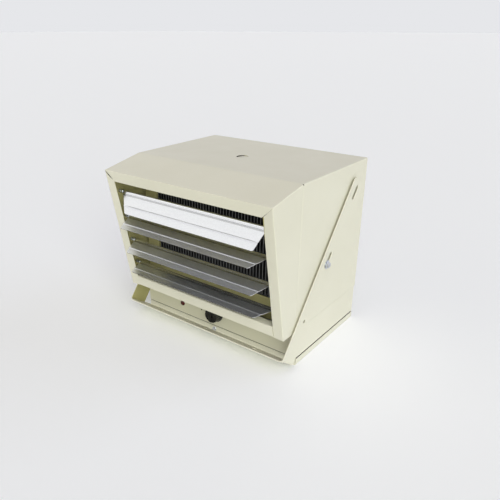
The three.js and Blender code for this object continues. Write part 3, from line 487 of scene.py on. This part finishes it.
def make_bracket(spring=1.3 * MM, tuck=math.radians(8)):
    """Strap with arms that spring outwards above the pivot, and a crossbar that lies back."""
    bm = merged_copy("mounting_bracket")
    break_edges(bm, BROKEN)
    pivot = pivot_of["mounting_bracket"]
    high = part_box("mounting_bracket")[1]
    lean, half, foot = math.radians(51.5), 21 * MM, 180 * MM
    arm, bend = 1 * MM, 6 * MM                           # from the outside inwards
    along = Vector((0, math.cos(lean), math.sin(lean)))
    across = Vector((0, -math.sin(lean), math.cos(lean)))
    for vert in bm.verts:
        place = vert.co - pivot
        up, fore = place.dot(along), place.dot(across)
        if up > 0:
            vert.co.x += math.copysign(spring * up / (high - pivot).dot(along), vert.co.x)
        if up < -foot:
            share = min(1, max(0, (high.x - arm - abs(vert.co.x)) / bend))
            vert.co += along * share * math.tan(tuck) * (half - fore)
    bm.normal_update()
    # painted shade: the inner faces of the arms take the darker shaded coat
    for face in bm.faces:
        if face.normal.x * face.calc_center_median().x < 0 and abs(face.normal.x) > 0.3:
            face.material_index = INNER_SHADE
    add_piece(bm, "mounting_bracket", [almond, painted_shade_coat])


def make_cabinet(lift=0.5 * MM):
    """Control cabinet with painted shade on its foot over the cover, and a small dark pip in its
    panel painted as the shade of a dent.
    """
    bm = merged_copy("control_cabinet")
    for vert in bm.verts:
        outer = abs(vert.co.x) > SIDE - 1.3 * MM or vert.co.y < BREAK + 7.3 * MM
        if abs(vert.co.z - JOINT) < HAIR and outer:
            vert.co.z += lift
    break_edges(bm, BROKEN)
    for face in bm.faces:
        if face.calc_center_median().z < JOINT + lift + 0.5 * NEAR:
            face.material_index = SHADOW
    dent_shade = bmesh.ops.create_uvsphere(bm, u_segments=12, v_segments=8, radius=1.3 * MM)["verts"]
    bmesh.ops.translate(bm, vec=(-35.7 * MM, BREAK + 6 * MM, 38.5 * MM), verts=dent_shade)
    paint_round(dent_shade, SHADOW)
    add_piece(bm, "control_cabinet", [almond, painted_dark_shade])


def make_cover(drop=1.2 * MM):
    """Bottom cover; its lip stands lower along the sides, with painted shade on its top."""
    bm = merged_copy("bottom_cover")
    for vert in bm.verts:
        if abs(vert.co.z - COVER_LIP) < HAIR and vert.co.y > BREAK + 7.9 * MM:
            vert.co.z -= drop
    break_edges(bm, BROKEN)
    for face in bm.faces:
        middle = face.calc_center_median()
        on_lip = middle.z > COVER_LIP - drop - 3 * NEAR and abs(middle.x) > SIDE - 2 * MM
        if face.normal.z > 0.9 and on_lip:
            face.material_index = SHADOW
    add_piece(bm, "bottom_cover", [almond, painted_dark_shade])


def make_knockout(shrink=0.975, tilt=-5):
    """Slug in the top, sprung down on its left side."""
    bm = merged_copy("top_knockout")
    break_edges(bm, BROKEN)
    low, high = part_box("top_knockout")
    hinge = Vector((high.x, (low.y + high.y) / 2, high.z))
    bmesh.ops.scale(bm, vec=(shrink, shrink, 1), verts=bm.verts,
                    space=Matrix.Translation(-(low + high) / 2))
    bmesh.ops.rotate(bm, cent=hinge, matrix=Matrix.Rotation(math.radians(tilt), 3, "Y"),
                     verts=bm.verts)
    add_piece(bm, "top_knockout")


def make_louver_rail(node, way):
    """Rail with painted shade on its web; its top end, behind the mitre, is painted dark as shade.
    """
    dark_from = 292 * MM
    bm = merged_copy(node)
    break_edges(bm, BROKEN)
    cut_through(bm, bm.faces, (0, 0, dark_from), UPWARD)
    for face in bm.faces:
        if face.normal.x * way < -0.5:
            face.material_index = INNER_SHADE
        elif face.calc_center_median().z > dark_from:
            face.material_index = DARK_SHADE
    add_piece(bm, node, [almond, painted_shade_coat, painted_dark_shade])


make_hood()
make_bracket()
make_cabinet()
make_cover()
make_knockout()
make_louver_rail("louver_rail_left", -1)
make_louver_rail("louver_rail_right", 1)
for sheet_piece in ("lower_front_rail", "partition_plate", "rear_panel", "motor_bracket"):
    soften(sheet_piece, BROKEN)
# painted shade: these pieces take the darker shaded coat all over
for shaded_piece in ("element_frame_left", "element_frame_right", "lower_baffle", "upper_baffle"):
    soften(shaded_piece, BROKEN, finishes=[painted_shade_coat])
for block in ("terminal_block", "contactor", "fan_delay_switch", "thermostat_body",
              "thermal_cutout", "pilot_light_body", "pilot_light_lens"):
    soften(block, 0.5 * MM)


# ------------------------------------------------------------------ louvers
LOUVER_ANGLES = {"louver_1": 66, "louver_2": 14, "louver_3": 15, "louver_4": 4}
LOUVER_SHEET = 0.8 * MM
LOUVER_REACH = 39.4 * MM                                 # from the rod to the lip
LOUVER_NOSE = 14 * MM                                    # from the lip to the crease
CREASE_RISE, CREASE_HALF = 1.1 * MM, 1.5 * MM
CURL_FOOT, CURL_RADIUS = 3.4 * MM, 1.9 * MM              # the rear edge rises and wraps the rod
RAMP_FOOT = 7 * MM
LIP_EDGE, SHADE_BAND, CURL_HIGHLIGHT = 1, 2, 3                        # material places after the mill finish: painted shade on the lip edge, a painted shade band before the curl, a painted highlight on the curl


def blade_path(bm):
    """The blade's section at x = 0, lip first, rising at the rear to wrap over the rod."""
    crease = -LOUVER_REACH + LOUVER_NOSE
    lip_drop = LOUVER_NOSE * math.tan(math.radians(1.5))
    start, turn = math.radians(105), math.radians(-290)
    points = [
        (-LOUVER_REACH, -lip_drop), (crease - CREASE_HALF, 0), (crease, CREASE_RISE),
        (crease + CREASE_HALF, 0), (-RAMP_FOOT, 0), (-CURL_FOOT, 0.98 * MM),
        (CURL_RADIUS * math.cos(start), CURL_RADIUS * math.sin(start)),
    ]
    verts = [bm.verts.new((0, y, z)) for y, z in points]
    for pair in zip(verts, verts[1:]):
        bm.edges.new(pair)
    bmesh.ops.spin(bm, geom=[verts[-1]], cent=(0, 0, 0), axis=RIGHT, angle=turn, steps=14)


def draw_blade(bm, half, spans=20):
    """Draws the section out from end to end, with tapered ends and the curl cut back."""
    taper, square, curl_back = 14.3 * MM, 4 * MM, 3 * MM
    blade_path(bm)
    bmesh.ops.translate(bm, vec=(-half, 0, 0), verts=bm.verts)
    ahead = bm.edges[:]
    for _ in range(spans):
        grown = bmesh.ops.extrude_edge_only(bm, edges=ahead)["geom"]
        ahead = [item for item in grown if isinstance(item, bmesh.types.BMEdge)]
        bmesh.ops.translate(bm, vec=(2 * half / spans, 0, 0), verts=points_of(grown))
    for vert in bm.verts:
        forward = max(0, -vert.co.y - square)
        vert.co.x *= 1 - taper / half * forward / (LOUVER_REACH - square)
    for vert in bm.verts:
        if vert.co.y > -2.2 * MM and abs(vert.co.x) > half - NEAR:
            vert.co.x -= math.copysign(curl_back, vert.co.x)


def make_louver(node):
    """Rolled blade: curled rear edge, pressed crease and rounded lip corners."""
    low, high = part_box(node)
    bm = bmesh.new()
    draw_blade(bm, (high.x - low.x) / 2)
    corners = [vert for vert in bm.verts
               if len(vert.link_edges) == 2 and vert.co.y < -LOUVER_REACH + 1 * MM]
    round_over(bm, corners, 3 * MM, 4, affect="VERTICES")
    crest = [edge for edge in bm.edges
             if min(vert.co.z for vert in edge.verts) > 1 * MM
             and max(vert.co.y for vert in edge.verts) < -13 * MM
             and len(edge.link_faces) == 2]
    round_over(bm, crest, 0.4 * MM, 2)
    bmesh.ops.recalc_face_normals(bm, faces=bm.faces)
    nose = min(bm.faces, key=lambda face: face.calc_center_median().y)
    if nose.normal.z > 0:                                # so that the curl thickens off the rod
        bmesh.ops.reverse_faces(bm, faces=bm.faces)
    bmesh.ops.solidify(bm, geom=bm.faces[:], thickness=LOUVER_SHEET)
    bmesh.ops.recalc_face_normals(bm, faces=bm.faces)
    break_edges(bm, 0.15 * MM, sharper=60)
    # painted shade on the lip edge, a painted shade band on the ramp, and a painted highlight on
    # the curl
    for face in bm.faces:
        middle = face.calc_center_median()
        if face.normal.y < -0.5 and middle.y < -LOUVER_REACH + 3 * NEAR:
            face.material_index = LIP_EDGE
        elif middle.y > -CURL_FOOT:
            face.material_index = CURL_HIGHLIGHT
        elif face.normal.z > 0.5 and middle.y > -RAMP_FOOT:
            face.material_index = SHADE_BAND
    tilt = Matrix.Rotation(math.radians(LOUVER_ANGLES[node]), 4, "X")
    bmesh.ops.transform(bm, matrix=Matrix.Translation(pivot_of[node]) @ tilt, verts=bm.verts)
    add_piece(bm, node, [aluminium, painted_dark_shade, shade_band_aluminium, highlight_aluminium])


def make_rod(node, louver):
    """Rod with a grooved collar at each end and peened tips."""
    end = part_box(node)[1].x
    rod, collar, groove = 1.6 * MM, 3.1 * MM, 2.6 * MM   # radii
    inner, outer, chamfer = 160.1 * MM, 171.1 * MM, 0.4 * MM
    half = [
        (0, rod), (inner, rod), (inner, collar - chamfer), (inner + chamfer, collar),
        (inner + 4 * MM, collar), (inner + 4.3 * MM, groove),
        (inner + 5.2 * MM, groove), (inner + 5.5 * MM, collar),
        (outer - chamfer, collar), (outer, collar - chamfer), (outer, rod),
        (end - chamfer, rod), (end, rod - chamfer), (end, 0),
    ]
    profile = [(-along, radius) for along, radius in reversed(half[1:])] + half[1:]
    bm = bmesh.new()
    turn_profile(bm, profile, pivot_of[louver], RIGHT, 20)
    add_piece(bm, node)


for number in range(1, 5):
    make_louver(f"louver_{number}")
    make_rod(f"louver_rod_{number}", f"louver_{number}")


# ------------------------------------------------------------------ screws, washers and nuts
def make_screw(node, axis, out, head, tall, flange, shank, hexagonal=True):
    """Screw with a flanged head, read off the node's box: its head end is on the `out` side."""
    low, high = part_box(node)
    way = AXES[axis] * out
    centre = (low + high) / 2
    along = "xyz".index(axis)
    centre[along] = high[along] if out > 0 else low[along]
    long = high[along] - low[along]
    bm = bmesh.new()
    turn_profile(bm, [
        (-long, 0), (-long, shank * 0.6), (0.6 * MM - long, shank), (-tall, shank),
        (-tall, flange), (0.3 * MM - tall, flange + 0.1 * MM), (0.9 * MM - tall, head),
        (0.9 * MM - tall, 0),
    ], centre, way, 32)
    if hexagonal:
        lift = Matrix.Translation(centre - way * tall)
        lift = lift @ way.to_track_quat("Z", "Y").to_matrix().to_4x4()
        block = bmesh.ops.create_circle(bm, cap_ends=True, segments=6, radius=head, matrix=lift)
        foot = block["verts"][0].link_faces[0]
        raised = points_of(bmesh.ops.extrude_face_region(bm, geom=[foot])["geom"])
        bmesh.ops.translate(bm, vec=way * tall, verts=raised)
        rim = [edge for edge in bm.edges if all(vert in raised for vert in edge.verts)]
        round_over(bm, rim, 0.5 * MM, 3)
        bmesh.ops.recalc_face_normals(bm, faces=bm.faces)
    else:
        turn_profile(bm, [
            (0.8 * MM - tall, 0), (0.8 * MM - tall, head), (-0.45 * tall, head * 0.96),
            (-0.15 * tall, head * 0.78), (-0.02 * tall, head * 0.45), (0, head * 0.3),
            (-0.35 * tall, head * 0.22), (-0.4 * tall, 0),
        ], centre, way, 32)
    add_piece(bm, node)


def make_ring(node, axis, bore, chamfer):
    """Flat ring read off the node's box."""
    low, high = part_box(node)
    along = "xyz".index(axis)
    across = (along + 1) % 3
    half = (high[along] - low[along]) / 2
    radius = (high[across] - low[across]) / 2
    bm = bmesh.new()
    turn_profile(bm, [
        (-half, bore), (-half, radius - chamfer), (chamfer - half, radius),
        (half - chamfer, radius), (half, radius - chamfer), (half, bore),
    ], (low + high) / 2, AXES[axis], 40)
    add_piece(bm, node)


for hand, out in (("left", -1), ("right", 1)):
    make_ring(f"bracket_washer_{hand}", "x", 3.2 * MM, 0.2 * MM)
    make_ring(f"bracket_spacer_{hand}", "x", 3.2 * MM, 0.1 * MM)
    soften(f"bracket_nut_{hand}", 0.3 * MM)
    make_screw(f"bracket_screw_{hand}", "x", out, 5.5 * MM, 4 * MM, 6.2 * MM, 2.9 * MM)
make_screw("cover_screw", "y", -1, 4.2 * MM, 3.2 * MM, 4.7 * MM, 1.9 * MM)
make_screw("ground_screw", "z", -1, 4.4 * MM, 2.6 * MM, 4.9 * MM, 1.9 * MM)
for number in range(1, 5):
    make_screw(f"guard_screw_{number}", "y", 1, 4 * MM, 2.6 * MM, 4.5 * MM, 1.8 * MM,
               hexagonal=False)
for number in range(1, 3):
    make_screw(f"motor_bolt_{number}", "y", 1, 4 * MM, 3 * MM, 4.5 * MM, 1.9 * MM)


# ------------------------------------------------------------------ thermostat dial
def make_dial():
    """Dial with a skirt and its scale, finger flutes, and a grip bar across the face."""
    low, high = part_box("thermostat_knob")
    centre = (low + high) / 2
    centre.y = high.y
    radius, reach = (high.x - low.x) / 2, high.y - low.y
    skirt, face = 3 * MM, reach - 2.5 * MM               # front of the skirt, and of the rim
    columns, flutes, ticks_every = 96, 16, 6
    outward = -REARWARD
    bm = bmesh.new()
    turn_profile(bm, [
        (0, 0), (0, radius - 0.4 * MM), (0.4 * MM, radius), (skirt - 0.4 * MM, radius),
        (skirt, radius - 0.4 * MM), (skirt + 0.2 * MM, radius - 1.6 * MM),
        (skirt + 0.9 * MM, radius - 1.9 * MM), (face - 1.2 * MM, radius - 2.6 * MM),
        (face - 0.3 * MM, radius - 3.1 * MM), (face, radius - 4 * MM),
        (face - 0.6 * MM, radius - 5.4 * MM), (face - 0.6 * MM, 0),
    ], centre, outward, columns)

    def turned(place):
        return math.atan2(place.x - centre.x, place.z - centre.z)

    for vert in bm.verts:
        along = centre.y - vert.co.y
        offset = vert.co - Vector((centre.x, vert.co.y, centre.z))
        if skirt + 0.5 * MM < along < face - NEAR and offset.length > radius - 3.5 * MM:
            dip = 0.5 - 0.5 * math.cos(flutes * turned(vert.co))
            vert.co -= offset.normalized() * 0.8 * MM * dip
    ring = [one for one in bm.faces
            if skirt < centre.y - one.calc_center_median().y < skirt + 0.2 * MM]
    step = 2 * math.pi / columns
    ticks = [one for one in ring
             if round(turned(one.calc_center_median()) / step - 0.5) % ticks_every == 0]
    bmesh.ops.inset_individual(bm, faces=ticks, thickness=0.25 * MM)
    for tick in ticks:
        tick.material_index = 1

    bar = bmesh.ops.create_cube(bm, size=1)["verts"]
    bmesh.ops.scale(bm, vec=(5.2 * MM, 3.6 * MM, 2 * (radius - 4.2 * MM)), verts=bar)
    bmesh.ops.translate(bm, vec=centre + outward * (reach - 1.8 * MM), verts=bar)
    crown = [vert for vert in bar if vert.co.y < centre.y - reach + 1 * MM]
    for vert in crown:
        vert.co.x = centre.x + (vert.co.x - centre.x) * 0.6
        vert.co.z = centre.z + (vert.co.z - centre.z) * 0.93
    rim = [edge for edge in bm.edges if all(vert in bar for vert in edge.verts)]
    round_over(bm, rim, 0.5 * MM, 3)
    bmesh.ops.recalc_face_normals(bm, faces=bm.faces)
    add_piece(bm, "thermostat_knob", [black_plastic, white_print])


make_dial()
soften("thermostat_shaft", 0.3 * MM)


# ------------------------------------------------------------------ fan, motor and guard
def make_guard(wire=1.5 * MM, sides=10, rings=7):
    """Round wires: rings welded on radial wires, with an eye at each foot."""
    low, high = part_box("fan_guard")
    centre = Vector((0, high.y - wire, (low.z + high.z) / 2))
    smallest, largest = 14 * MM, (high.x - low.x) / 2 - wire
    bm = bmesh.new()
    for index in range(rings):
        radius = smallest + (largest - smallest) * index / (rings - 1)
        hoop = bmesh.ops.create_circle(bm, segments=sides, radius=wire)["verts"]
        bmesh.ops.rotate(bm, cent=(0, 0, 0), matrix=Matrix.Rotation(math.pi / 2, 3, "Y"),
                         verts=hoop)
        bmesh.ops.translate(bm, vec=centre + UPWARD * radius, verts=hoop)
        edges = list(dict.fromkeys(edge for vert in hoop for edge in vert.link_edges))
        bmesh.ops.spin(bm, geom=hoop + edges, cent=centre, axis=REARWARD, angle=2 * math.pi,
                       steps=24 + 10 * index, use_merge=True)
    screws = [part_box(f"guard_screw_{number}") for number in range(1, 5)]
    foot_reach = (screws[0][0].x + screws[0][1].x) / 2 * math.sqrt(2)
    for angle in (0, 45, 90, 135):
        long = foot_reach if angle % 90 else largest
        spoke = bmesh.ops.create_cone(bm, cap_ends=True, segments=sides, radius1=wire,
                                      radius2=wire, depth=2 * long)["verts"]
        bmesh.ops.rotate(bm, cent=(0, 0, 0), matrix=Matrix.Rotation(math.radians(angle), 3, "Y"),
                         verts=spoke)
        bmesh.ops.translate(bm, vec=centre - REARWARD * wire, verts=spoke)
    bore, eye, eye_long = 2.3 * MM, 5 * MM, 7.5 * MM
    for at_low, at_high in screws:
        seat = (at_low + at_high) / 2
        seat.y = low.y
        turn_profile(bm, [
            (0, bore), (0, eye - 0.3 * MM), (0.3 * MM, eye), (eye_long - 0.5 * MM, eye),
            (eye_long, eye - 0.4 * MM), (eye_long, bore),
        ], seat, REARWARD, 24)
    bmesh.ops.remove_doubles(bm, verts=bm.verts, dist=SAME)
    bmesh.ops.recalc_face_normals(bm, faces=bm.faces)
    add_piece(bm, "fan_guard")


soften("fan_blade", 0.2 * MM, smooth=50)
soften("fan_hub", 0.3 * MM)
soften("motor_shaft", 0.4 * MM)
soften("fan_motor", 0.5 * MM)
make_guard()


# ------------------------------------------------------------------ heating element
def make_element(lip=2.3 * MM, sheet=0.5 * MM):
    """Sheathed tubes through plate fins, each fin with a narrow rolled lip at its front edge,
    painted lighter as a highlight.
    """
    bm = merged_copy("heating_element")
    low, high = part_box("heating_element")
    fronts = [face for face in bm.faces
              if face.normal.y < -0.99 and face.calc_center_median().y < low.y + NEAR]
    places = sorted({round(face.calc_center_median().x, 5) for face in fronts})
    heights = [vert.co.z for face in fronts for vert in face.verts]
    bottom, top = min(heights), max(heights)
    for x in places:
        strip = bmesh.ops.create_cube(bm, size=1)["verts"]
        bmesh.ops.scale(bm, vec=(lip, sheet, top - bottom), verts=strip)
        middle = (x + lip / 2 - 0.3 * MM, low.y + sheet / 2, (top + bottom) / 2)
        bmesh.ops.translate(bm, vec=middle, verts=strip)
        # painted highlight: the lips take the lighter fin edge colour
        paint_round(strip, 1)
    add_piece(bm, "heating_element", [black_oxide, fin_edge_highlight])


make_element()


# ------------------------------------------------------------------ studio
FLOOR_TONE = linear(242, 243, 245)
FLOOR_LIFT = (0.098, 0.1, 0.098)                         # added for seen rays
FLOOR_HALF = 60
LAMP_ANGLE = 50                                          # degrees across, for soft shadows
LAMPS = {                                                # azimuth, elevation, strength, colour
    "front_right_bank": (45, 25, 2.35, (0.96, 1.0, 0.86)),
    "rear_right_bank": (135, 25, 0.56, (0.72, 0.8, 1.0)),
    "front_left_bank": (315, 25, 0.16, (1.0, 0.95, 0.75)),
    "high_right_bank": (45, 60, 0.38, (0.7, 0.52, 1.0)),
    "overhead": (0, 89, 0.44, (1.0, 1.0, 1.0)),
}
AIR_TONE = (0.18, 0.175, 0.16)                           # light from all round
BACKDROP_TONE = linear(230, 231, 234)                    # what seen rays meet behind the lamps


def seen_ray(tree):
    """1 for what the camera, a reflection or a clear piece looks at, 0 for the light it gives."""
    path = tree.nodes.new("ShaderNodeLightPath")
    seen = path.outputs["Is Camera Ray"]
    for ray in ("Is Glossy Ray", "Is Transmission Ray"):
        either = tree.nodes.new("ShaderNodeMath")
        either.operation = "MAXIMUM"
        tree.links.new(seen, either.inputs[0])
        tree.links.new(path.outputs[ray], either.inputs[1])
        seen = either.outputs[0]
    return seen


def make_floor():
    """A wide pale floor under the heater."""
    bm = bmesh.new()
    bmesh.ops.create_grid(bm, x_segments=1, y_segments=1, size=FLOOR_HALF)
    mesh = bpy.data.meshes.new("studio_floor")
    bm.to_mesh(mesh)
    bm.free()
    floor = bpy.data.objects.new("studio_floor", mesh)
    bpy.context.scene.collection.objects.link(floor)
    material, tree, shader, place = new_finish("studio_floor")
    shader.inputs["Base Color"].default_value = (*FLOOR_TONE, 1)
    shader.inputs["Roughness"].default_value = 0.8
    shader.inputs["Emission Color"].default_value = (*FLOOR_LIFT, 1)
    tree.links.new(seen_ray(tree), shader.inputs["Emission Strength"])
    mesh.materials.append(material)


def soft_sun(name, azimuth, elevation, strength, colour):
    """A wide soft lamp; azimuth 0 is in front and 90 on the right, in degrees."""
    lamp = bpy.data.lights.new(name, "SUN")
    lamp.energy = strength
    lamp.color = colour
    lamp.angle = math.radians(LAMP_ANGLE)
    light = bpy.data.objects.new(name, lamp)
    turn, rise = math.radians(azimuth), math.radians(elevation)
    toward = Vector((
        math.sin(turn) * math.cos(rise),
        -math.cos(turn) * math.cos(rise),
        math.sin(rise),
    ))
    light.rotation_euler = toward.to_track_quat("Z", "Y").to_euler()
    bpy.context.scene.collection.objects.link(light)


def light_studio():
    """Even air, a pale backdrop that only seen rays meet, and the lamps."""
    world = bpy.data.worlds.new("studio_air")
    bpy.context.scene.world = world
    world.use_nodes = True
    tree = world.node_tree
    air = tree.nodes["Background"]
    air.inputs["Color"].default_value = (*AIR_TONE, 1)
    backdrop = tree.nodes.new("ShaderNodeBackground")
    backdrop.name = "Backdrop"
    backdrop.inputs["Color"].default_value = (*BACKDROP_TONE, 1)
    mix = tree.nodes.new("ShaderNodeMixShader")
    tree.links.new(seen_ray(tree), mix.inputs["Fac"])
    tree.links.new(air.outputs["Background"], mix.inputs[1])
    tree.links.new(backdrop.outputs["Background"], mix.inputs[2])
    tree.links.new(mix.outputs["Shader"], tree.nodes["World Output"].inputs["Surface"])
    for name, values in LAMPS.items():
        soft_sun(name, *values)


make_floor()
light_studio()
bpy.context.scene.view_settings.view_transform = "Standard"
